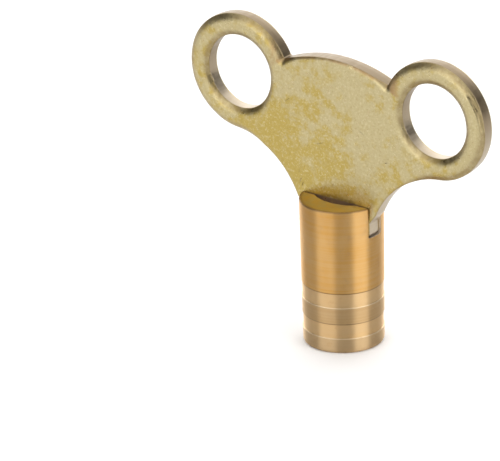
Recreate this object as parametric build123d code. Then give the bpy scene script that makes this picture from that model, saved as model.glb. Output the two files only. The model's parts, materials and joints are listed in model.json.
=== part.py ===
from build123d import *
import math
import os

# Radiator bleed key of the clock-key pattern: a stamped sheet bow whose tang sits in a cross slot
# of a turned barrel. The barrel's lower end holds a square socket for the bleed screw's head.
#
# Frame, in millimetres: the origin is the centre of the barrel's lower face, +Z runs up the barrel
# axis, the bow lies in the XZ plane, and its face side looks along -Y.

# ---- driving dimensions: barrel ----
BARREL_LENGTH = 18.0
BARREL_TOP_R = 5.0
BARREL_BASE_R = 4.8
BASE_CHAMFER = 0.45
TOP_CHAMFER = 0.12

BAND_DEPTH = 0.12        # how far the two turned bands are sunk below the lands
BAND_WIDTH = 1.8
BAND_FLOORS = (1.9, 5.8)  # height of each band's lower edge

SOCKET_AF = 5.1          # across flats, for a 5 mm square head
SOCKET_DEPTH = 9.0
SOCKET_CORNER_R = 0.1
SOCKET_LEAD_R = 3.75     # mouth radius of the conical lead-in
PILOT_R = 2.5            # drilled before the square is broached
PILOT_TOP_Z = 11.5       # the drilled hole stops here, in solid metal below the slot

# ---- driving dimensions: bow ----
SHEET = 2.2              # thickness of the brass sheet
EAR_PITCH = 28.2         # distance between the two finger holes
EAR_Z = 30.87
EAR_R = 7.2
EAR_HOLE_R = 4.55
CROWN_R = 18.7
CROWN_TOP_Z = 35.5
FLANK_R = 11.0
NECK_HALF = 4.75         # half width where the flank arcs would come closest
SHOULDER_Z = 17.2        # the flank arc ends here and the side slants in to the tang
TANG_HALF = 4.75
TANG_TOP_Z = 16.0
NOTCH_R = 0.25           # punch radius where crown and ear meet
DIE_ROLL_R = 0.5         # rounded edge on the side where the punch entered
SHEAR_EDGE_R = 0.1       # broken edge on the other side

# ---- driving dimensions: how the two meet ----
SLOT_FLOOR_Z = 14.2
SLOT_FACE_GAP = 0.1      # clearance between the tang's face side and the slot wall
SLOT_FLOOR_R = 0.2
TANG_END_Z = 14.45       # the tang stops just short of the slot's floor
RELIEF_R = 5.3           # shallow pocket that widens the slot's mouth on the face side
RELIEF_REACH = 2.2       # how far in front of the axis the pocket comes
RELIEF_DEPTH = 0.9
RELIEF_TAPER = 20

FACE_Y = -SHEET / 2
BACK_Y = SHEET / 2
MARGIN = 2.0             # how far cutting tools run past the stock


def barrel_radius(z):
    """Radius of the tapered barrel at height z."""
    return BARREL_BASE_R + (BARREL_TOP_R - BARREL_BASE_R) * z / BARREL_LENGTH


def barrel_blank():
    """Turned outside of the barrel, from base chamfer to top chamfer, with its two sunk bands."""
    outline = [(0, 0), (barrel_radius(0) - BASE_CHAMFER, 0), (barrel_radius(BASE_CHAMFER), BASE_CHAMFER)]
    for low in BAND_FLOORS:
        high = low + BAND_WIDTH
        outline.append((barrel_radius(low), low))
        outline.append((barrel_radius(low) - BAND_DEPTH, low + BAND_DEPTH / 2))
        outline.append((barrel_radius(high) - BAND_DEPTH, high))
        outline.append((barrel_radius(high), high))
    outline.append((barrel_radius(BARREL_LENGTH - TOP_CHAMFER), BARREL_LENGTH - TOP_CHAMFER))
    outline.append((barrel_radius(BARREL_LENGTH) - TOP_CHAMFER, BARREL_LENGTH))
    outline.append((0, BARREL_LENGTH))
    with BuildPart() as blank:
        with BuildSketch(Plane.XZ):
            with BuildLine():
                Polyline(*outline, close=True)
            make_face()
        revolve(axis=Axis.Z)
    return blank.part


def slot_cutter():
    """Cross slot for the tang, open at the top and at both sides."""
    width = SHEET + SLOT_FACE_GAP
    height = BARREL_LENGTH + MARGIN - SLOT_FLOOR_Z
    length = 2 * (BARREL_TOP_R + MARGIN)
    with BuildPart() as cutter:
        with Locations((0, FACE_Y - SLOT_FACE_GAP + width / 2, SLOT_FLOOR_Z)):
            Box(length, width, height, align=(Align.CENTER, Align.CENTER, Align.MIN))
        floor_edges = cutter.edges().filter_by(Axis.X).group_by(Axis.Z)[0]
        fillet(floor_edges, radius=SLOT_FLOOR_R)
    return cutter.part


def relief_cutter():
    """Lens-shaped pocket in front of the slot's mouth, narrowing downwards."""
    with BuildPart() as cutter:
        with BuildSketch(Plane.XY.offset(BARREL_LENGTH)):
            with Locations((0, RELIEF_R - RELIEF_REACH)):
                Circle(RELIEF_R)
            with Locations((0, FACE_Y)):
                Rectangle(
                    2 * BARREL_TOP_R,
                    2 * BARREL_TOP_R,
                    align=(Align.CENTER, Align.MAX),
                    mode=Mode.INTERSECT,
                )
        extrude(amount=-RELIEF_DEPTH, taper=RELIEF_TAPER)
    return cutter.part


def socket_cutter():
    """Square socket with a conical lead-in at its mouth, and the pilot hole above it."""
    lead_depth = SOCKET_LEAD_R - SOCKET_AF / 2
    with BuildPart() as cutter:
        with BuildSketch(Plane.XY):
            RectangleRounded(SOCKET_AF, SOCKET_AF, SOCKET_CORNER_R)
        extrude(amount=SOCKET_DEPTH)
        with Locations((0, 0, lead_depth / 2)):
            Cone(SOCKET_LEAD_R, SOCKET_AF / 2, lead_depth)
        Cylinder(PILOT_R, PILOT_TOP_Z, align=(Align.CENTER, Align.CENTER, Align.MIN))
    return cutter.part


def make_barrel():
    barrel = barrel_blank() - slot_cutter() - relief_cutter() - socket_cutter()
    barrel.label = "barrel"
    return barrel


def on_circle(centre, radius, degrees):
    """Point on a circle in the bow's own plane, as (x, z)."""
    angle = math.radians(degrees)
    return (centre[0] + radius * math.cos(angle), centre[1] + radius * math.sin(angle))


def direction(start, end):
    """Angle in degrees of the way from one point to another."""
    return math.degrees(math.atan2(end[1] - start[1], end[0] - start[0]))


def mirrored(point):
    return (-point[0], point[1])


def bow_points():
    """Key points of the right half of the bow's outline, from the crown's top to the tang's end."""
    ear = (EAR_PITCH / 2, EAR_Z)
    crown = (0, CROWN_TOP_Z - CROWN_R)
    flank_x = NECK_HALF + FLANK_R
    flank = (flank_x, EAR_Z - math.sqrt((EAR_R + FLANK_R) ** 2 - (flank_x - ear[0]) ** 2))
    # the crown meets the ear where the two circles cross
    span = math.dist(ear, crown)
    along = (CROWN_R**2 - EAR_R**2 + span**2) / (2 * span)
    notch_turn = math.degrees(math.acos(along / CROWN_R))
    notch = on_circle(crown, CROWN_R, direction(crown, ear) + notch_turn)
    # the ear runs into the flank where both circles touch
    joint = on_circle(ear, EAR_R, direction(ear, flank))
    shoulder_x = flank[0] - math.sqrt(FLANK_R**2 - (SHOULDER_Z - flank[1]) ** 2)
    shoulder = (shoulder_x, SHOULDER_Z)
    flank_middle = (direction(flank, joint) + direction(flank, shoulder)) / 2
    return {
        "top": (0, CROWN_TOP_Z),
        "notch": notch,
        "ear_side": on_circle(ear, EAR_R, 0),
        "joint": joint,
        "flank_side": on_circle(flank, FLANK_R, flank_middle),
        "shoulder": shoulder,
        "tang_top": (TANG_HALF, TANG_TOP_Z),
        "tang_end": (TANG_HALF, TANG_END_Z),
    }


def make_bow():
    """Stamped bow: two ears with finger holes, a crown between them and a necked tang below."""
    point = bow_points()
    with BuildPart() as bow:
        with BuildSketch(Plane.XZ) as blank:
            with BuildLine():
                ThreePointArc(mirrored(point["notch"]), point["top"], point["notch"])
                ThreePointArc(point["notch"], point["ear_side"], point["joint"])
                ThreePointArc(point["joint"], point["flank_side"], point["shoulder"])
                Polyline(point["shoulder"], point["tang_top"], point["tang_end"])
                Line(point["tang_end"], mirrored(point["tang_end"]))
                Polyline(*(mirrored(point[name]) for name in ("tang_end", "tang_top", "shoulder")))
                ThreePointArc(*(mirrored(point[name]) for name in ("shoulder", "flank_side", "joint")))
                ThreePointArc(*(mirrored(point[name]) for name in ("joint", "ear_side", "notch")))
            make_face()
            notch_corners = [corner for corner in blank.vertices() if abs(corner.Z - point["notch"][1]) < 0.01]
            fillet(notch_corners, radius=NOTCH_R)
            with Locations((EAR_PITCH / 2, EAR_Z), (-EAR_PITCH / 2, EAR_Z)):
                Circle(EAR_HOLE_R, mode=Mode.SUBTRACT)
        extrude(amount=SHEET / 2, both=True)
        face_edges = bow.faces().sort_by(Axis.Y)[0].edges()
        fillet(face_edges, radius=DIE_ROLL_R)
        back_edges = bow.faces().sort_by(Axis.Y)[-1].edges()
        fillet(back_edges, radius=SHEAR_EDGE_R)
    bow.part.label = "bow"
    return bow.part


os.makedirs("parts", exist_ok=True)
for piece in (make_barrel(), make_bow()):
    export_step(piece, f"parts/{piece.label}.step")
    size = piece.bounding_box().size
    print(f"{piece.label}: {size.X:.2f} x {size.Y:.2f} x {size.Z:.2f} mm, {piece.volume:.1f} mm3")
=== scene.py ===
import json
import math
import random

import bpy
import numpy as np
from mathutils import Matrix, Vector, geometry, noise


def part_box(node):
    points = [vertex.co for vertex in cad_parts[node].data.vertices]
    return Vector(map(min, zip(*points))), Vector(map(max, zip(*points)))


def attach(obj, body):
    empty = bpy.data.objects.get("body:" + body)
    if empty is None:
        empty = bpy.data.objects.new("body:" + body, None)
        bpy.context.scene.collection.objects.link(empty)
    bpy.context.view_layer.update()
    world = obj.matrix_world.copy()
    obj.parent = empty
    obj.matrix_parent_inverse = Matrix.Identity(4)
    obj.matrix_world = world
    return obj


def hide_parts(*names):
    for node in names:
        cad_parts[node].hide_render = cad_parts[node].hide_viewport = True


# Radiator bleed key: a stamped brass bow whose tang sits in the cross slot of a turned barrel.
# Shapes are worked out in millimetres in the CAD frame and stored in metres.

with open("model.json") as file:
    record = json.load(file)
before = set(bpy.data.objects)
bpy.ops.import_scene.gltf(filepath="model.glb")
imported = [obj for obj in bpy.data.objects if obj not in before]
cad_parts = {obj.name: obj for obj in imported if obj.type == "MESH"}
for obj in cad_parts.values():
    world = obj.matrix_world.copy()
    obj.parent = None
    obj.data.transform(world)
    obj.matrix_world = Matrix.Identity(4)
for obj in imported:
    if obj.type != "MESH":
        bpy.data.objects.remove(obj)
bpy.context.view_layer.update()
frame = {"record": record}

MM = 0.001

# ---------------------------------------------------------------------------------------------
# sizes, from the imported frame
# ---------------------------------------------------------------------------------------------

bow_low, bow_high = (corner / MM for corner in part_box("bow"))
_, barrel_high = (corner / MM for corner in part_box("barrel"))
mounts = {mount["name"]: mount for mount in frame["record"]["mounts"]}
eye = mounts["right_eye"]

EAR_X = eye["pos_m"][0] / MM
EAR_Z = eye["pos_m"][2] / MM
HOLE_R = eye["dims"]["r_mm"]
EAR_R = bow_high.x - EAR_X
FACE_Y = bow_low.y
BACK_Y = bow_high.y
TANG_Z = bow_low.z

# the arcs of the bow's outline that the frame doesn't name
CROWN_TOP_Z = 35.5
CROWN_R = 18.7
FLANK_R = 11.0
NECK_HALF = 4.75
SHOULDER_Z = 17.2
TANG_HALF = 4.75
TANG_TOP_Z = 16.0
NOTCH_R = 0.22

BARREL_TOP = barrel_high.z
BARREL_R_TOP = barrel_high.y
BARREL_R_BASE = 4.8
SOCKET_AF = 5.1
SOCKET_DEPTH = 9.0
SOCKET_LEAD_R = 3.75
PILOT_R = 2.5
PILOT_TOP_Z = 11.5
SLOT_FLOOR_Z = 14.2
SLOT_FACE_GAP = 0.1


# ---------------------------------------------------------------------------------------------
# camera, lights and floor
# ---------------------------------------------------------------------------------------------

def look_at(thing, place, target, roll=0.0):
    """Aims an object's -Z axis at a target, both in metres."""
    back = (Vector(place) - Vector(target)).normalized()
    right = Vector((0, 0, 1)).cross(back).normalized()
    up = back.cross(right)
    turned_right = math.cos(roll) * right + math.sin(roll) * up
    turned_up = back.cross(turned_right)
    matrix = Matrix((turned_right, turned_up, back)).transposed().to_4x4()
    matrix.translation = Vector(place)
    thing.matrix_world = matrix


def sphere_point(azimuth, elevation, distance, centre=(0, 0, 0)):
    """A point round a centre: azimuth 0 is in front, on -Y, and grows towards +X."""
    a = math.radians(azimuth)
    e = math.radians(elevation)
    return Vector(centre) + distance * Vector(
        (math.sin(a) * math.cos(e), -math.cos(a) * math.cos(e), math.sin(e))
    )


VIEW_AZIMUTH = 37.9
VIEW_ELEVATION = 22.67
VIEW_ROLL = -1.4
VIEW_DISTANCE = 0.9
VIEW_CENTRE = (-0.01157, -0.0027, 0.01192)


def make_camera():
    data = bpy.data.cameras.new("camera")
    data.sensor_width = 36.0
    data.lens = 549.2
    data.clip_start = 0.01
    data.clip_end = 20.0
    camera = bpy.data.objects.new("camera", data)
    bpy.context.scene.collection.objects.link(camera)
    place = sphere_point(VIEW_AZIMUTH, VIEW_ELEVATION, VIEW_DISTANCE, VIEW_CENTRE)
    look_at(camera, place, VIEW_CENTRE, math.radians(VIEW_ROLL))
    bpy.context.scene.camera = camera


def make_softbox(name, azimuth, elevation, distance, width, height, strength):
    """A rectangular area light aimed at the middle of the key. Azimuth is counted from the camera's."""
    data = bpy.data.lights.new(name, "AREA")
    data.shape = "RECTANGLE"
    data.size = width
    data.size_y = height
    data.energy = strength * math.pi * width * height
    light = bpy.data.objects.new(name, data)
    bpy.context.scene.collection.objects.link(light)
    target = (0, 0, 0.02)
    look_at(light, sphere_point(VIEW_AZIMUTH + azimuth, elevation, distance, target), target)


# the room's bright sides, as (first and last azimuth counted from the camera's, brightness)
PANELS = (
    (-180, -140, 2.5),      # the white sweep behind the key
    (-66, -30, 2.3),        # left softbox
    (36, 64, 3.5),          # right softbox
    (140, 180, 2.5),        # the sweep's other half
)
PANEL_EDGE = 15             # degrees over which a panel fades into the room
ROOM = 0.10                 # brightness between the panels
CEILING = 1.2
CEILING_START = 0.45        # sine of the height where the walls begin to turn into the ceiling
CEILING_END = 0.80
FLOOR_HALF = 3.0            # half the floor's side, in metres


def link(tree, source, target):
    tree.links.new(source, target)


def wall_stops():
    """Brightness right round the room, as (azimuth, brightness)."""
    stops = []
    for start, end, brightness in PANELS:
        stops += [(start - PANEL_EDGE, ROOM), (start, brightness)]
        stops += [(end, brightness), (end + PANEL_EDGE, ROOM)]
    return [stop for stop in stops if -180 <= stop[0] <= 180]


def make_world():
    """A dim neutral room with bright white panels behind the key and on each side, and a pale ceiling."""
    world = bpy.data.worlds.new("studio_room")
    bpy.context.scene.world = world
    world.use_nodes = True
    tree = world.node_tree
    coordinates = tree.nodes.new("ShaderNodeTexCoord")
    turned = tree.nodes.new("ShaderNodeVectorRotate")
    turned.rotation_type = "Z_AXIS"
    turned.inputs["Angle"].default_value = -math.radians(VIEW_AZIMUTH)
    split = tree.nodes.new("ShaderNodeSeparateXYZ")
    front = tree.nodes.new("ShaderNodeMath")
    front.operation = "MULTIPLY"
    front.inputs[1].default_value = -1
    angle = tree.nodes.new("ShaderNodeMath")
    angle.operation = "ARCTAN2"
    azimuth = tree.nodes.new("ShaderNodeMapRange")
    azimuth.inputs["From Min"].default_value = -math.pi
    azimuth.inputs["From Max"].default_value = math.pi
    ramp = tree.nodes.new("ShaderNodeValToRGB")
    ramp.color_ramp.interpolation = "EASE"
    elements = ramp.color_ramp.elements
    elements.remove(elements[-1])
    for number, (degrees, brightness) in enumerate(wall_stops()):
        position = (degrees + 180) / 360
        element = elements[0] if number == 0 else elements.new(position)
        element.position = position
        element.color = (brightness, brightness, brightness, 1)
    high = tree.nodes.new("ShaderNodeMapRange")
    high.interpolation_type = "SMOOTHSTEP"
    high.inputs["From Min"].default_value = CEILING_START
    high.inputs["From Max"].default_value = CEILING_END
    mix = tree.nodes.new("ShaderNodeMix")
    mix.data_type = "RGBA"
    mix.inputs["B"].default_value = (CEILING, CEILING, CEILING, 1)
    link(tree, coordinates.outputs["Generated"], turned.inputs["Vector"])
    link(tree, turned.outputs["Vector"], split.inputs[0])
    link(tree, split.outputs["Y"], front.inputs[0])
    link(tree, split.outputs["X"], angle.inputs[0])
    link(tree, front.outputs[0], angle.inputs[1])
    link(tree, angle.outputs[0], azimuth.inputs["Value"])
    link(tree, azimuth.outputs["Result"], ramp.inputs["Fac"])
    link(tree, split.outputs["Z"], high.inputs["Value"])
    link(tree, high.outputs["Result"], mix.inputs["Factor"])
    link(tree, ramp.outputs["Color"], mix.inputs["A"])
    link(tree, mix.outputs["Result"], tree.nodes["Background"].inputs["Color"])


def make_floor():
    """A plain pale floor."""
    half = FLOOR_HALF
    corners = [(-half, -half, 0), (half, -half, 0), (half, half, 0), (-half, half, 0)]
    mesh = bpy.data.meshes.new("floor")
    mesh.from_pydata(corners, [], [(0, 1, 2, 3)])
    floor = bpy.data.objects.new("floor", mesh)
    bpy.context.scene.collection.objects.link(floor)
    material = bpy.data.materials.new("floor_white")
    material.use_nodes = True
    paint = material.node_tree.nodes["Principled BSDF"]
    paint.inputs["Base Color"].default_value = (0.9, 0.9, 0.9, 1)
    paint.inputs["Roughness"].default_value = 0.9
    paint.inputs["Specular IOR Level"].default_value = 0.1
    mesh.materials.append(material)


# ---------------------------------------------------------------------------------------------
# the bow: outline, rims and faces
# ---------------------------------------------------------------------------------------------

SPACING = 0.2           # distance between neighbouring points along an edge
ROLL_WIDTH = 1.28       # how far the rounding from the punch reaches in from the edge
ROLL_DEPTH = 0.5
CORNER_R = 0.1          # where the roll turns into the sheared wall
BREAK_START_Y = 0.15    # below this the wall is burnished, above it is torn
BREAK_LEAN = 0.07       # the torn wall leans in by this much
BACK_R = 0.26           # tumbled edge at the back
OUTER_INSET = 0.004     # keeps the uneven outer wall inside the nominal outline
FACE_GRID = 0.42        # distance between points on the flats


def arc(centre, radius, start, end, count):
    """Points on an arc between two angles in radians, without the last one."""
    angle = start + (end - start) * np.arange(count) / count
    return np.stack([centre[0] + radius * np.cos(angle), centre[1] + radius * np.sin(angle)], 1)


def turn(start, end):
    return math.atan2(end[1] - start[1], end[0] - start[0])


def outline_rules():
    """Centres and angles of the right half's arcs: crown, notch, ear and flank."""
    ear = (EAR_X, EAR_Z)
    crown = (0.0, CROWN_TOP_Z - CROWN_R)
    flank_x = NECK_HALF + FLANK_R
    flank = (flank_x, EAR_Z - math.sqrt((EAR_R + FLANK_R) ** 2 - (flank_x - EAR_X) ** 2))
    # a small circle rolls into the notch between crown and ear
    span = math.dist(ear, crown)
    far = CROWN_R + NOTCH_R
    along = (far**2 - (EAR_R + NOTCH_R) ** 2 + span**2) / (2 * span)
    lean = turn(crown, ear) + math.acos(along / far)
    notch = (crown[0] + far * math.cos(lean), crown[1] + far * math.sin(lean))
    return ear, crown, flank, notch


def straight(start, end, count):
    """Points on a line, without the last one."""
    return start + (end - start) * (np.arange(count) / count)[:, None]


def shoulder_rules(flank):
    """Point where the flank ends, the way down the slant from it, and the slant's outward normal."""
    drop = SHOULDER_Z - flank[1]
    shoulder = np.array([flank[0] - math.sqrt(FLANK_R**2 - drop**2), SHOULDER_Z])
    slant = np.array([TANG_HALF, TANG_TOP_Z]) - shoulder
    slant /= np.linalg.norm(slant)
    return shoulder, slant, np.array([-slant[1], slant[0]])


def bow_ring(inset):
    """The outer outline moved inwards, as points clockwise from the crown's top."""
    ear, crown, flank, notch = outline_rules()
    crown_end = turn(crown, notch)
    ear_start = turn(ear, notch)
    ear_end = turn(ear, flank) + (0 if turn(ear, flank) < ear_start else -2 * math.pi)
    notch_start = turn(notch, crown)
    notch_end = turn(notch, ear)
    reach = FLANK_R + inset
    flank_start = turn(flank, ear)
    shoulder, slant, slant_normal = shoulder_rules(flank)
    # where the moved flank arc, slant and tang side cross each other
    offset = shoulder - inset * slant_normal - np.array(flank)
    along = float(offset @ slant)
    back_step = math.sqrt(along**2 - float(offset @ offset) + reach**2)
    corner = np.array(flank) + offset + (back_step - along) * slant
    flank_end = turn(flank, corner)
    drop = (corner[0] - (TANG_HALF - inset)) / -slant[0]
    tang_top = corner + drop * slant
    tang_end = np.array([TANG_HALF - inset, TANG_Z + inset])
    counts = [
        round(CROWN_R * abs(math.pi / 2 - crown_end) / SPACING),
        7,
        round(EAR_R * abs(ear_end - ear_start) / SPACING),
        round(FLANK_R * 1.0 / SPACING),
        8,
        6,
        round(TANG_HALF / SPACING),
    ]
    pieces = [
        arc(crown, CROWN_R - inset, math.pi / 2, crown_end, counts[0]),
        arc(notch, NOTCH_R + inset, notch_start, notch_end, counts[1]),
        arc(ear, EAR_R - inset, ear_start, ear_end, counts[2]),
        arc(flank, reach, flank_start, flank_end, counts[3]),
        straight(corner, tang_top, counts[4]),
        straight(tang_top, tang_end, counts[5]),
        straight(tang_end, np.array([0.0, TANG_Z + inset]), counts[6]),
    ]
    right = np.concatenate(pieces)
    left = np.concatenate([[[0.0, TANG_Z + inset]], right[:0:-1] * (-1, 1)])
    return np.concatenate([right, left])


def hole_ring(side, inset):
    """A finger hole's edge moved into the metal, clockwise. Side is 1 on the right, -1 on the left."""
    count = round(2 * math.pi * HOLE_R / SPACING)
    return arc((side * EAR_X, EAR_Z), HOLE_R + inset, 0, -2 * math.pi, count)


def roll_edge(x, z, inset, hole_side):
    """Depth and steepness of the roll: full round ears and holes, slight along crown and flanks."""
    share = 1.0
    if hole_side == 0:
        share = window(math.dist((abs(x), z), (EAR_X, EAR_Z)) + inset, 0, EAR_R, 2.2)
    return ROLL_DEPTH * (0.42 + 0.58 * share), 2.1 + 2.6 * (1 - share)


def rim_profile():
    """(inset, y) pairs from the flat of the face side, over the edge, to the flat of the back."""
    profile = []
    for step in np.linspace(1, 0.02, 13):
        share = step**1.35
        profile.append((ROLL_WIDTH * share, FACE_Y + ROLL_DEPTH * (1 - share) ** 2.1))
    top = FACE_Y + ROLL_DEPTH
    for angle in np.linspace(20, 90, 4):
        a = math.radians(angle)
        profile.append((CORNER_R * (1 - math.sin(a)) * 0.5, top + CORNER_R * (1 - math.cos(a))))
    for y in np.linspace(top + 2 * CORNER_R, BREAK_START_Y, 4):
        profile.append((0.0, y))
    for share in np.linspace(0.25, 1, 4):
        y = BREAK_START_Y + share * (BACK_Y - BACK_R - BREAK_START_Y)
        profile.append((BREAK_LEAN * share, y))
    for angle in np.linspace(22, 90, 4):
        a = math.radians(angle)
        inset = BREAK_LEAN + BACK_R * (1 - math.cos(a))
        profile.append((inset, BACK_Y - BACK_R * (1 - math.sin(a))))
    profile.append((BREAK_LEAN + BACK_R + 0.25, BACK_Y))
    return profile


def wave(x, z, scale, seed):
    """Smooth noise from -1 to 1 over the bow's plane; scale is the size of its bumps in mm."""
    return noise.noise(Vector((x / scale, seed * 7.3, z / scale)))


def window(value, start, end, soft):
    """1 between start and end, falling to 0 outside over the soft distance."""
    low = min(max((value - start) / soft + 1, 0), 1)
    high = min(max((end - value) / soft + 1, 0), 1)
    share = min(low, high)
    return share * share * (3 - 2 * share)


def shaped(x, z, y, inset, hole_side):
    """A rim or face point with the small faults of a tumbled stamping added."""
    depth, power = roll_edge(x, z, inset, hole_side)
    top = FACE_Y + ROLL_DEPTH
    if y < top and inset > 0:
        y = FACE_Y + depth * max(0.0, 1 - inset / ROLL_WIDTH) ** power
    elif top <= y < BREAK_START_Y:
        share = (BREAK_START_Y - y) / (BREAK_START_Y - top)
        y = BREAK_START_Y - share * (BREAK_START_Y - FACE_Y - depth)
    wall = window(y, FACE_Y + ROLL_DEPTH * 0.7, BACK_Y, 0.1)
    push = wall * (0.010 * wave(x, z, 1.4, 1 + hole_side) + 0.002 * wave(x, z, 0.4, 4))
    y += 0.010 * wave(x, z, 3.5, 2) + 0.004 * wave(x, z, 1.1, 3)
    if y < 0:
        share = max(0.0, 1 - inset / ROLL_WIDTH)
        y += 0.09 * share * share * wave(x, z, 6.0, 5)
        if hole_side == -1:
            nick = torn_edge(x, z) * window(inset, -1, 0.12, 0.3)
            y += nick * (0.05 + 0.09 * wave(x, z, 0.9, 9))
            push += nick * 0.07 * wave(x, z, 0.9, 10)
        if hole_side == 0 and x > EAR_X:
            y += lap_crease(x, z, inset)
    if hole_side == 0:
        push = min(push, 0.0) - OUTER_INSET
    return push, y


def torn_edge(x, z):
    """Where the left hole's edge is torn: 1 on its left side, with a deeper end low down."""
    angle = math.degrees(math.atan2(z - EAR_Z, x + EAR_X)) % 360
    return window(angle, 168, 206, 5) + 0.8 * window(angle, 203, 209, 3)


def lap_crease(x, z, inset):
    """A fold pressed into the right ear's roll: a low ridge with a fine groove outside it."""
    angle = math.degrees(math.atan2(z - EAR_Z, x - EAR_X))
    along = window(angle, -22, 36, 8)
    line = 0.30 + 0.0075 * angle + 0.05 * wave(x, z, 1.5, 12)
    ridge = math.exp(-((inset - line - 0.14) / 0.14) ** 2)
    groove = math.exp(-((inset - line + 0.10) / 0.13) ** 2)
    return along * (0.17 * groove - 0.08 * ridge)


def build_bow():
    """Points and faces of the whole bow, and the numbers of the faces on its sheared wall."""
    rings = [
        ("outer", bow_ring, 0),
        ("right_hole", lambda inset: hole_ring(1, inset), 1),
        ("left_hole", lambda inset: hole_ring(-1, inset), -1),
    ]
    profile = rim_profile()
    points = []
    faces = []
    rim_loops = {}
    wall_faces = []
    for name, ring, hole_side in rings:
        start = len(points)
        count = len(ring(0.0))
        middle = np.array([hole_side * EAR_X, EAR_Z])
        for inset, y in profile:
            loop = ring(inset)
            ahead = np.roll(loop, -1, 0) - np.roll(loop, 1, 0)
            ahead /= np.linalg.norm(ahead, axis=1)[:, None]
            outward = np.stack([-ahead[:, 1], ahead[:, 0]], 1)
            if hole_side:
                outward = (middle - loop) / np.linalg.norm(middle - loop, axis=1)[:, None]
            for (x, z), (nx, nz) in zip(loop, outward):
                push, depth = shaped(x, z, y, inset, hole_side)
                points.append((x + push * nx, depth, z + push * nz))
        for row in range(len(profile) - 1):
            for i in range(count):
                a = start + row * count + i
                b = start + row * count + (i + 1) % count
                quad = (a, b, b + count, a + count)
                if profile[row][0] < CORNER_R * 0.2 and profile[row][1] < BACK_Y - BACK_R * 1.1:
                    wall_faces.append(len(faces))
                elif profile[row][1] > BREAK_START_Y and profile[row][1] < BACK_Y - BACK_R * 1.1:
                    wall_faces.append(len(faces))
                faces.append(quad if not hole_side else quad[::-1])
        last = start + (len(profile) - 1) * count
        rim_loops[name] = (range(start, start + count), range(last, last + count))
    for side in (0, 1):
        fill_face(points, faces, [rim_loops[name][side] for name in rim_loops], side)
    return points, faces, wall_faces


def fill_face(points, faces, loops, side):
    """Fills the flat between the rims with an even grid of triangles. Side 0 is the face, 1 the back."""
    grid = FACE_GRID
    flat_y = FACE_Y if side == 0 else BACK_Y
    rim_index = [list(loop) for loop in loops]
    corners = [np.array([(points[i][0], points[i][2]) for i in loop]) for loop in rim_index]
    flat_points = []
    edges = []
    where = []
    for loop, places in zip(rim_index, corners):
        begin = len(flat_points)
        flat_points += [Vector(place) for place in places]
        where += loop
        edges += [(begin + i, begin + (i + 1) % len(loop)) for i in range(len(loop))]
    rows = int((bow_high.z - bow_low.z) / (grid * 0.866)) + 1
    columns = int((bow_high.x - bow_low.x) / grid) + 1
    border = np.concatenate(corners)
    for row in range(rows):
        z = bow_low.z + row * grid * 0.866
        for column in range(columns):
            x = bow_low.x + (column + 0.5 * (row % 2)) * grid
            if not on_metal(x, z, side):
                continue
            if np.min(np.sum((border - (x, z)) ** 2, axis=1)) < (0.6 * grid) ** 2:
                continue
            _, depth = shaped(x, z, flat_y, ROLL_WIDTH, 0)
            flat_points.append(Vector((x, z)))
            where.append(len(points))
            points.append((x, depth, z))
    result = geometry.delaunay_2d_cdt(flat_points, edges, [], 0, 1e-6)
    new_points, _, triangles, sources = result[0], result[1], result[2], result[3]
    for triangle in triangles:
        middle = sum((new_points[i] for i in triangle), Vector((0, 0))) / 3
        if not on_metal(middle.x, middle.y, side):
            continue
        corner = [where[sources[i][0]] for i in triangle]
        faces.append(corner[::-1] if side else corner)


def on_metal(x, z, side):
    """True where the flat of the sheet is, clear of the rims."""
    inset = ROLL_WIDTH if side == 0 else BREAK_LEAN + BACK_R + 0.25
    inset -= 0.02
    ear, crown, flank, notch = outline_rules()
    x = abs(x)
    from_ear = math.dist((x, z), ear)
    if from_ear < HOLE_R + inset or z < TANG_Z + inset:
        return False
    if math.dist((x, z), notch) < NOTCH_R + inset:
        return False
    shoulder, _, slant_normal = shoulder_rules(flank)
    beside = float(np.dot((x - shoulder[0], z - shoulder[1]), slant_normal))
    if z < SHOULDER_Z + 0.5 and x > TANG_HALF - inset and beside > -inset:
        return False
    if from_ear < EAR_R - inset:
        return True
    if math.dist((x, z), flank) < FLANK_R + inset or x > EAR_X:
        return False
    # below the notch the rim's points fan out, past both the crown's arc and the ear's
    fan_low = turn(notch, crown)
    fan_high = turn(notch, ear)
    if fan_low < turn(notch, (x, z)) < fan_high:
        return True
    return math.dist((x, z), crown) < CROWN_R - inset


def make_mesh(name, points, faces):
    mesh = bpy.data.meshes.new(name)
    mesh.from_pydata([tuple(MM * c for c in p) for p in points], [], faces)
    mesh.update()
    piece = bpy.data.objects.new(name, mesh)
    bpy.context.scene.collection.objects.link(piece)
    return piece


def make_bow(face_material, wall_material):
    points, faces, wall_faces = build_bow()
    piece = make_mesh("bow_stamping", points, faces)
    piece.data.shade_smooth()
    piece.data.materials.append(face_material)
    piece.data.materials.append(wall_material)
    for index in wall_faces:
        piece.data.polygons[index].material_index = 1
    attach(piece, "root")
    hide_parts("bow")
    return piece


# ---------------------------------------------------------------------------------------------
# the barrel
# ---------------------------------------------------------------------------------------------

SEGMENTS = 288
BANDS = ((1.9, 3.7, 0.10), (5.8, 7.6, 0.07))   # lower edge, upper edge, depth
LIP_HEIGHT = 0.018
LIP_WIDTH = 0.3


def barrel_radius(z):
    radius = BARREL_R_BASE + (BARREL_R_TOP - BARREL_R_BASE) * z / BARREL_TOP
    for low, high, depth in BANDS:
        radius -= depth * window(z, low + 0.06, high - 0.03, 0.06)
        radius += LIP_HEIGHT * window(z, low - LIP_WIDTH * 0.5, low - 0.03, 0.1)
    return radius


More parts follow.
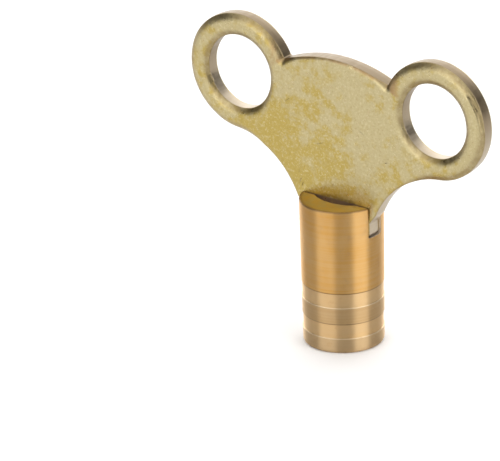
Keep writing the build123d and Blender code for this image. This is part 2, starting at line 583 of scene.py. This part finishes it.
def barrel_profile():
    """(radius, z) pairs of the turned outside, from the axis at the bottom to the axis at the top."""
    chamfer = 0.42
    profile = [(0, 0), (barrel_radius(0) - chamfer, 0)]
    for angle in (25, 50, 75, 90):
        a = math.radians(angle)
        profile.append((barrel_radius(0) - chamfer * (1 - math.sin(a)), chamfer * (1 - math.cos(a))))
    z = chamfer + 0.08
    turning = random.Random(5)
    while z < BARREL_TOP - 0.16:
        profile.append((barrel_radius(z) + turning.uniform(-0.0004, 0.0004), z))
        z += 0.05 if z < BANDS[1][1] + 0.2 else 0.1
    top_r = barrel_radius(BARREL_TOP)
    for angle in (0, 30, 60, 90):
        a = math.radians(angle)
        profile.append((top_r - 0.12 * (1 - math.cos(a)), BARREL_TOP - 0.12 * (1 - math.sin(a))))
    profile.append((0, BARREL_TOP))
    return profile


def lathe(name, profile, segments=SEGMENTS):
    points = [(0, 0, profile[0][1])]
    for radius, z in profile[1:-1]:
        for i in range(segments):
            a = 2 * math.pi * i / segments
            points.append((radius * math.cos(a), radius * math.sin(a), z))
    points.append((0, 0, profile[-1][1]))
    faces = []
    rows = len(profile) - 2
    for i in range(segments):
        j = (i + 1) % segments
        faces.append((0, 1 + j, 1 + i))
        for row in range(rows - 1):
            a = 1 + row * segments
            faces.append((a + i, a + j, a + segments + j, a + segments + i))
        a = 1 + (rows - 1) * segments
        faces.append((a + i, a + j, len(points) - 1))
    return make_mesh(name, points, faces)


def prism(name, outline, low, high):
    """A closed prism over a counter-clockwise outline in the XY plane."""
    count = len(outline)
    points = [(x, y, low) for x, y in outline] + [(x, y, high) for x, y in outline]
    faces = [tuple(range(count))[::-1], tuple(range(count, 2 * count))]
    for i in range(count):
        j = (i + 1) % count
        faces.append((i, j, count + j, count + i))
    return make_mesh(name, points, faces)


def rounded_rectangle(width, height, radius, centre=(0, 0), steps=5):
    outline = []
    for sx, sy, start in ((1, 1, 0), (-1, 1, 90), (-1, -1, 180), (1, -1, 270)):
        for i in range(steps):
            a = math.radians(start + 90 * i / (steps - 1))
            x = centre[0] + sx * (width / 2 - radius) + radius * math.cos(a)
            y = centre[1] + sy * (height / 2 - radius) + radius * math.sin(a)
            outline.append((x, y))
    return outline


def cut(piece, tool, slot):
    """Takes the tool's shape out of the piece. The new faces get the piece's material of that number."""
    for material in piece.data.materials:
        tool.data.materials.append(material)
    for polygon in tool.data.polygons:
        polygon.material_index = slot
    modifier = piece.modifiers.new("cut", "BOOLEAN")
    modifier.operation = "DIFFERENCE"
    modifier.solver = "EXACT"
    modifier.object = tool
    apply_modifiers(piece)
    bpy.data.objects.remove(tool)


def apply_modifiers(piece):
    graph = bpy.context.evaluated_depsgraph_get()
    mesh = bpy.data.meshes.new_from_object(piece.evaluated_get(graph))
    piece.modifiers.clear()
    piece.data = mesh


RELIEF_R = 5.3
RELIEF_REACH = 2.2
RELIEF_DEPTH = 0.9


def relief_tool():
    """A lens-shaped pocket in front of the slot's mouth, narrowing downwards, with a ragged edge."""
    centre_y = RELIEF_R - RELIEF_REACH
    half = math.acos((centre_y - FACE_Y) / RELIEF_R)
    rows = []
    for depth, shrink in ((-0.5, -0.15), (0.0, 0.0), (RELIEF_DEPTH, 0.33)):
        row = []
        for angle in np.linspace(-math.pi / 2 - half, -math.pi / 2 + half, 60):
            x = (RELIEF_R - shrink) * math.cos(angle)
            y = centre_y + (RELIEF_R - shrink) * math.sin(angle) + 0.05 * wave(x, depth, 0.5, 21)
            row.append((x, min(y, FACE_Y + 0.05), BARREL_TOP - depth))
        rows.append(row)
    count = len(rows[0])
    points = sum(rows[::-1], [])
    faces = [tuple(range(count))[::-1], tuple(range(2 * count, 3 * count))]
    for level in (0, count):
        for i in range(count):
            j = (i + 1) % count
            faces.append((level + i, level + j, level + count + j, level + count + i))
    return make_mesh("relief_tool", points, faces)


def finish_edges(piece):
    """Breaks the cut edges a little, and shades the turned skin smooth."""
    modifier = piece.modifiers.new("edges", "BEVEL")
    modifier.width = 0.05 * MM
    modifier.segments = 2
    modifier.limit_method = "ANGLE"
    modifier.angle_limit = math.radians(35)
    modifier.use_clamp_overlap = True
    modifier.harden_normals = False
    apply_modifiers(piece)
    piece.data.shade_smooth()
    piece.data.set_sharp_from_angle(angle=math.radians(40))


TURNED, CUT, BROACHED, FACED = range(4)


def make_barrel(materials):
    piece = lathe("barrel_turning", barrel_profile())
    for material in materials:
        piece.data.materials.append(material)
    for polygon in piece.data.polygons:
        if abs(polygon.normal.z) > 0.99:
            polygon.material_index = FACED
    slot_width = BACK_Y - FACE_Y + SLOT_FACE_GAP
    slot_middle_z = (SLOT_FLOOR_Z + BARREL_TOP + 2) / 2
    slot = prism(
        "slot_tool",
        rounded_rectangle(slot_width, BARREL_TOP + 2 - SLOT_FLOOR_Z, 0.2),
        -BARREL_R_TOP - 1,
        BARREL_R_TOP + 1,
    )
    # the prism's own Z runs along the slot, which is the frame's X
    along_x = Matrix(((0, 0, 1), (1, 0, 0), (0, 1, 0))).to_4x4()
    middle = Vector((0, (BACK_Y + FACE_Y - SLOT_FACE_GAP) / 2, slot_middle_z)) * MM
    slot.data.transform(Matrix.Translation(middle) @ along_x)
    cut(piece, slot, CUT)
    cut(piece, relief_tool(), CUT)
    socket = rounded_rectangle(SOCKET_AF, SOCKET_AF, 0.1)
    cut(piece, prism("socket_tool", socket, -1, SOCKET_DEPTH), BROACHED)
    circle = [
        (PILOT_R * math.cos(a), PILOT_R * math.sin(a))
        for a in np.linspace(0, 2 * math.pi, 96, endpoint=False)
    ]
    cut(piece, prism("pilot_tool", circle, -1, PILOT_TOP_Z), CUT)
    lead = SOCKET_LEAD_R - SOCKET_AF / 2
    cone = [(0, -0.5), (SOCKET_LEAD_R + 0.5, -0.5), (SOCKET_LEAD_R, 0), (SOCKET_AF / 2, lead)]
    cone += [(1.0, lead + 0.2), (0, lead + 0.2)]
    cut(piece, lathe("lead_tool", cone, 96), BROACHED)
    finish_edges(piece)
    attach(piece, "root")
    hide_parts("barrel")
    return piece


# ---------------------------------------------------------------------------------------------
# materials
# ---------------------------------------------------------------------------------------------

class Surface:
    """A metal material with short calls for the nodes that its pattern needs. Lengths are in mm."""

    def __init__(self, name, roughness, anisotropic=0.0):
        self.material = bpy.data.materials.new(name)
        self.material.use_nodes = True
        self.nodes = self.material.node_tree.nodes
        self.links = self.material.node_tree.links
        self.shader = self.nodes["Principled BSDF"]
        self.shader.inputs["Metallic"].default_value = 1.0
        self.shader.inputs["Roughness"].default_value = roughness
        self.shader.inputs["Anisotropic"].default_value = anisotropic
        self.place = self.nodes.new("ShaderNodeTexCoord").outputs["Object"]

    def stretched(self, x, y, z, shift=0.0):
        """Object coordinates in mm, times a factor along each axis."""
        mapping = self.nodes.new("ShaderNodeMapping")
        mapping.inputs["Scale"].default_value = (x / MM, y / MM, z / MM)
        mapping.inputs["Location"].default_value = (shift, shift * 0.7, -shift)
        self.links.new(self.place, mapping.inputs["Vector"])
        return mapping.outputs["Vector"]

    def noise(self, vector, scale=1.0, detail=2.0, roughness=0.5):
        texture = self.nodes.new("ShaderNodeTexNoise")
        texture.inputs["Scale"].default_value = scale
        texture.inputs["Detail"].default_value = detail
        texture.inputs["Roughness"].default_value = roughness
        self.links.new(vector, texture.inputs["Vector"])
        return texture.outputs["Fac"]

    def cells(self, vector, scale):
        texture = self.nodes.new("ShaderNodeTexVoronoi")
        texture.inputs["Scale"].default_value = scale
        self.links.new(vector, texture.inputs["Vector"])
        return texture.outputs["Distance"]

    def span(self, source, low, high, to_low=0.0, to_high=1.0):
        """Maps low..high smoothly to to_low..to_high."""
        node = self.nodes.new("ShaderNodeMapRange")
        node.interpolation_type = "SMOOTHSTEP"
        node.inputs["From Min"].default_value = low
        node.inputs["From Max"].default_value = high
        node.inputs["To Min"].default_value = to_low
        node.inputs["To Max"].default_value = to_high
        self.links.new(source, node.inputs["Value"])
        return node.outputs["Result"]

    def math(self, operation, first, second):
        node = self.nodes.new("ShaderNodeMath")
        node.operation = operation
        for socket, value in zip(node.inputs, (first, second)):
            if isinstance(value, (int, float)):
                socket.default_value = value
            else:
                self.links.new(value, socket)
        return node.outputs["Value"]

    def mix(self, factor, first, second):
        node = self.nodes.new("ShaderNodeMix")
        node.data_type = "RGBA"
        self.links.new(factor, node.inputs["Factor"])
        for socket, value in (("A", first), ("B", second)):
            if isinstance(value, tuple):
                node.inputs[socket].default_value = (*value, 1)
            else:
                self.links.new(value, node.inputs[socket])
        return node.outputs["Result"]

    def axes(self):
        """Object x, y and z in mm."""
        split = self.nodes.new("ShaderNodeSeparateXYZ")
        self.links.new(self.stretched(1, 1, 1), split.inputs[0])
        return split.outputs["X"], split.outputs["Y"], split.outputs["Z"]

    def nick(self, x, z, degrees, half_length, half_width):
        """1 inside a short scratch in the bow's plane, 0 outside."""
        mapping = self.nodes.new("ShaderNodeMapping")
        mapping.vector_type = "TEXTURE"
        mapping.inputs["Location"].default_value = (x * MM, 0, z * MM)
        mapping.inputs["Rotation"].default_value = (0, -math.radians(degrees), 0)
        mapping.inputs["Scale"].default_value = (half_length * MM, 1, half_width * MM)
        self.links.new(self.place, mapping.inputs["Vector"])
        flat = self.nodes.new("ShaderNodeVectorMath")
        flat.operation = "MULTIPLY"
        flat.inputs[1].default_value = (1, 0, 1)
        self.links.new(mapping.outputs["Vector"], flat.inputs[0])
        length = self.nodes.new("ShaderNodeVectorMath")
        length.operation = "LENGTH"
        self.links.new(flat.outputs["Vector"], length.inputs[0])
        return self.span(length.outputs["Value"], 1.0, 0.3)

    def crown_vector(self):
        """From the crown's centre, in the bow's plane, in mm."""
        mapping = self.nodes.new("ShaderNodeMapping")
        mapping.inputs["Scale"].default_value = (1 / MM, 0, 1 / MM)
        mapping.inputs["Location"].default_value = (0, 0, CROWN_R - CROWN_TOP_Z)
        self.links.new(self.place, mapping.inputs["Vector"])
        return mapping.outputs["Vector"]

    def colour(self, source):
        self.links.new(source, self.shader.inputs["Base Color"])

    def roughness(self, source):
        self.links.new(source, self.shader.inputs["Roughness"])

    def bump(self, height, depth):
        """Raises the surface by depth mm times height."""
        node = self.nodes.new("ShaderNodeBump")
        node.inputs["Distance"].default_value = depth * MM
        self.links.new(height, node.inputs["Height"])
        self.links.new(node.outputs["Normal"], self.shader.inputs["Normal"])

    def round_axis(self):
        """Turning marks run round Z, so the highlight spreads along it."""
        tangent = self.nodes.new("ShaderNodeTangent")
        tangent.direction_type = "RADIAL"
        tangent.axis = "Z"
        self.links.new(tangent.outputs["Tangent"], self.shader.inputs["Tangent"])
        self.shader.inputs["Anisotropic Rotation"].default_value = 0.25


# scuffs placed on the bow: x, z, direction in degrees, half length and half width in mm
# the pattern ignores y, so they show on the back as well
NICKS = (
    (-5.1, 19.3, 68, 0.55, 0.07),
    (-4.8, 18.9, 60, 0.35, 0.06),
    (-5.3, 20.4, 75, 0.25, 0.05),
    (-2.2, 24.6, 20, 0.6, 0.04),
    (3.9, 27.3, 150, 0.7, 0.04),
    (1.4, 31.8, 100, 0.5, 0.04),
    (-6.8, 29.1, 40, 0.5, 0.05),
    (7.4, 24.3, 10, 0.4, 0.05),
    (-19.6, 34.2, 130, 0.35, 0.08),
    (-20.3, 28.6, 95, 0.4, 0.07),
    (12.7, 37.0, 80, 0.45, 0.05),
)


def bow_face_brass():
    """Tumbled sheet: pale satin with golden blotches, fine pits and short scratches."""
    s = Surface("bow_face_brass", 0.34)
    x, y, z = s.axes()
    plain = s.stretched(1, 1, 1)
    blotch = s.noise(plain, 0.16, 4.0, 0.6)
    mottle = s.noise(s.stretched(1, 1, 1, 31.0), 0.9, 3.0, 0.6)
    lower = s.math("ADD", s.span(z, 32.0, 22.0, -0.2, 0.3), s.span(x, 4.0, -5.0, -0.22, 0.2))
    golden = s.math("ADD", s.span(blotch, 0.40, 0.64, 0, 0.8), s.span(mottle, 0.35, 0.7, -0.35, 0.45))
    base = s.mix(s.span(s.math("ADD", golden, lower), 0.0, 1.0), (0.455, 0.38, 0.205), (0.415, 0.31, 0.088))
    grain = s.noise(s.stretched(1, 1, 1, 5.0), 4.0, 3.0, 0.65)
    base = s.mix(s.span(grain, 0.5, 0.75, 0, 0.6), base, (0.60, 0.53, 0.33))
    base = s.mix(s.span(grain, 0.45, 0.25, 0, 0.6), base, (0.33, 0.25, 0.09))
    # a brown line along the crown's edge, on both sides of the sheet: tarnish, deepened with painted shade
    from_crown = s.nodes.new("ShaderNodeVectorMath")
    from_crown.operation = "LENGTH"
    s.links.new(s.crown_vector(), from_crown.inputs[0])
    crown_edge = s.span(from_crown.outputs["Value"], CROWN_R - 0.42, CROWN_R - 0.12)
    upper = s.math("MULTIPLY", crown_edge, s.span(s.math("ABSOLUTE", x, 0), 9.7, 8.6))
    upper = s.math("MULTIPLY", upper, s.span(z, 30.0, 31.0))
    base = s.mix(s.math("MULTIPLY", upper, s.span(mottle, 0.35, 0.6, 0.25, 0.8)), base, (0.32, 0.20, 0.10))
    # painted shade: the rolled edge of the face side is darker than the flat
    rolled = s.math("MULTIPLY", s.span(y, FACE_Y + 0.02, FACE_Y + 0.26), s.span(y, 0.0, -0.3))
    edge = s.math("MULTIPLY", rolled, s.span(mottle, 0.3, 0.6, 0.4, 0.7))
    base = s.mix(edge, base, (0.24, 0.175, 0.085))
    # painted shade, brown, where the sheet goes down into the slot
    above_slot = s.span(z, BARREL_TOP + 0.14, BARREL_TOP)
    near = s.math("MULTIPLY", above_slot, s.span(s.math("ABSOLUTE", x, 0), 4.9, 2.6))
    ragged = s.math("MULTIPLY", near, s.span(mottle, 0.25, 0.5, 0.5, 1.0))
    s.colour(s.mix(ragged, base, (0.34, 0.26, 0.20)))
    s.roughness(s.span(s.noise(plain, 1.7, 3.0), 0.3, 0.7, 0.27, 0.4))
    pits = s.span(s.cells(s.stretched(1, 1, 1, 2.0), 1.3), 0.06, 0.22, -1.0, 0.0)
    scratches = s.noise(s.stretched(2.4, 1, 0.5, 9.0), 2.5, 3.0, 0.65)
    rough_skin = s.noise(s.stretched(1, 1, 1, 14.0), 1.6, 4.0, 0.7)
    height = s.math("ADD", s.math("MULTIPLY", pits, 0.3), s.math("MULTIPLY", scratches, 0.4))
    height = s.math("ADD", height, s.math("MULTIPLY", grain, 0.6))
    height = s.math("ADD", height, s.math("MULTIPLY", rough_skin, 1.2))
    for nick in NICKS:
        height = s.math("ADD", height, s.math("MULTIPLY", s.nick(*nick), -3.0))
    s.bump(height, 0.026)
    return s.material


def bow_wall_brass():
    """Sheared edge: burnished then torn, darker and greyer than the face, with streaks across it."""
    s = Surface("bow_sheared_brass", 0.24)
    streak = s.noise(s.stretched(2.2, 0.3, 2.2), 1.0, 3.0, 0.6)
    patch = s.noise(s.stretched(1, 1, 1, 4.0), 0.5, 3.0)
    base = s.mix(s.span(streak, 0.3, 0.7), (0.40, 0.33, 0.24), (0.46, 0.39, 0.29))
    base = s.mix(s.span(patch, 0.45, 0.7, 0, 0.6), base, (0.42, 0.34, 0.24))
    # painted shade: the upper edges are darker
    _, _, z = s.axes()
    s.colour(s.mix(s.span(z, 27.0, 33.5, 0, 0.85), base, (0.21, 0.155, 0.09)))
    s.roughness(s.span(streak, 0.3, 0.7, 0.34, 0.46))
    fine = s.noise(s.stretched(9, 0.8, 9, 3.0), 1.0, 2.0)
    s.bump(s.math("ADD", streak, s.math("MULTIPLY", fine, 0.3)), 0.006)
    return s.material


def turned_brass():
    """Turned bar: fine lines round the axis over a warmer, orange brass."""
    s = Surface("barrel_turned_brass", 0.43, 1.0)
    s.round_axis()
    _, _, z = s.axes()
    lines = s.noise(s.stretched(0.05, 0.05, 3.2), 1.0, 3.0, 0.6)
    cloud = s.noise(s.stretched(1, 1, 0.6, 8.0), 0.35, 3.0)
    base = s.mix(s.span(cloud, 0.35, 0.7), (0.585, 0.345, 0.12), (0.555, 0.30, 0.08))
    # the lands are duller than the freshly cut bands
    first, second = BANDS
    foot = s.span(z, first[0] + 0.02, first[0] - 0.06)
    above_first = s.span(z, first[1] - 0.02, first[1] + 0.06)
    below_second = s.span(z, second[0] + 0.02, second[0] - 0.06)
    land = s.math("MULTIPLY", above_first, below_second)
    base = s.mix(foot, base, (0.52, 0.36, 0.19))
    base = s.mix(land, base, (0.48, 0.315, 0.15))
    for low, high, _ in BANDS:
        inside = s.math("MULTIPLY", s.span(z, low - 0.02, low + 0.04), s.span(z, high, high - 0.06))
        base = s.mix(s.math("MULTIPLY", inside, 0.5), base, (0.64, 0.49, 0.30))
        # painted highlight: a pale line on the lip below each band
        lip_highlight = s.math("MULTIPLY", s.span(z, low - 0.10, low - 0.04), s.span(z, low + 0.06, low + 0.01))
        base = s.mix(s.math("MULTIPLY", lip_highlight, 0.6), base, (0.86, 0.74, 0.52))
        # painted shade: a dark line at each band's upper edge, where the wall faces down
        edge = s.math("MULTIPLY", s.span(z, high - 0.11, high - 0.02), s.span(z, high + 0.13, high + 0.04))
        base = s.mix(s.math("MULTIPLY", edge, 0.85), base, (0.22, 0.13, 0.05))
    stains = s.noise(s.stretched(1, 1, 1, 17.0), 0.8, 4.0, 0.65)
    base = s.mix(s.span(stains, 0.56, 0.74, 0, 0.45), base, (0.46, 0.28, 0.12))
    base = s.mix(s.span(lines, 0.35, 0.65, 0, 0.18), base, (0.66, 0.50, 0.30))
    # a dark brown line along the top edge
    s.colour(s.mix(s.span(z, BARREL_TOP - 0.20, BARREL_TOP - 0.08, 0, 0.9), base, (0.34, 0.21, 0.09)))
    s.roughness(s.span(lines, 0.3, 0.7, 0.40, 0.46))
    fine = s.noise(s.stretched(0.1, 0.1, 9.0, 3.0), 1.0, 1.0)
    s.bump(s.math("ADD", lines, s.math("MULTIPLY", fine, 0.15)), 0.0006)
    return s.material


def cut_brass():
    """Slot, relief and pilot hole: dull and greyish."""
    s = Surface("barrel_cut_brass", 0.5)
    plain = s.stretched(1, 1, 1, 12.0)
    cloud = s.noise(plain, 1.2, 3.0)
    s.colour(s.mix(s.span(cloud, 0.3, 0.7), (0.55, 0.47, 0.40), (0.76, 0.66, 0.56)))
    s.bump(s.noise(s.stretched(6, 0.5, 6, 2.0), 1.0, 2.0), 0.02)
    return s.material


def broached_brass():
    """Square socket: bright, with scores along the broach's way."""
    s = Surface("socket_broached_brass", 0.38)
    scores = s.noise(s.stretched(7, 7, 0.15, 6.0), 1.0, 3.0, 0.6)
    s.colour(s.mix(s.span(scores, 0.3, 0.7), (0.66, 0.46, 0.20), (0.82, 0.60, 0.30)))
    s.bump(scores, 0.02)
    return s.material


def end_face_brass():
    """Faced ends of the barrel: yellower, with a faint fine bump."""
    s = Surface("barrel_end_brass", 0.34)
    _, y, _ = s.axes()
    cloud = s.noise(s.stretched(1, 1, 1, 20.0), 1.1, 3.0)
    base = s.mix(s.span(cloud, 0.3, 0.7), (0.72, 0.49, 0.14), (0.66, 0.50, 0.20))
    # painted shade, brown, on the end face along the slot's edges
    beside_slot = s.span(s.math("ABSOLUTE", y, 0), 1.5, 1.22)
    slot_edge_shade = s.math("MULTIPLY", beside_slot, s.span(cloud, 0.3, 0.6, 0.5, 0.95))
    base = s.mix(slot_edge_shade, base, (0.42, 0.27, 0.14))
    radius = s.nodes.new("ShaderNodeVectorMath")
    radius.operation = "LENGTH"
    s.links.new(s.stretched(1, 1, 0), radius.inputs[0])
    rim = s.span(radius.outputs["Value"], BARREL_R_TOP - 0.5, BARREL_R_TOP - 0.2, 0, 0.7)
    s.colour(s.mix(rim, base, (0.46, 0.29, 0.11)))
    s.bump(s.noise(s.stretched(1, 1, 1, 7.0), 4.0, 3.0), 0.02)
    return s.material


# ---------------------------------------------------------------------------------------------
# the scene
# ---------------------------------------------------------------------------------------------

make_camera()
make_world()
make_floor()
make_softbox("overhead_softbox", 150, 78, 0.8, 0.5, 0.5, 1.2)
make_bow(bow_face_brass(), bow_wall_brass())
make_barrel([turned_brass(), cut_brass(), broached_brass(), end_face_brass()])

bpy.context.scene.view_settings.view_transform = "Standard"
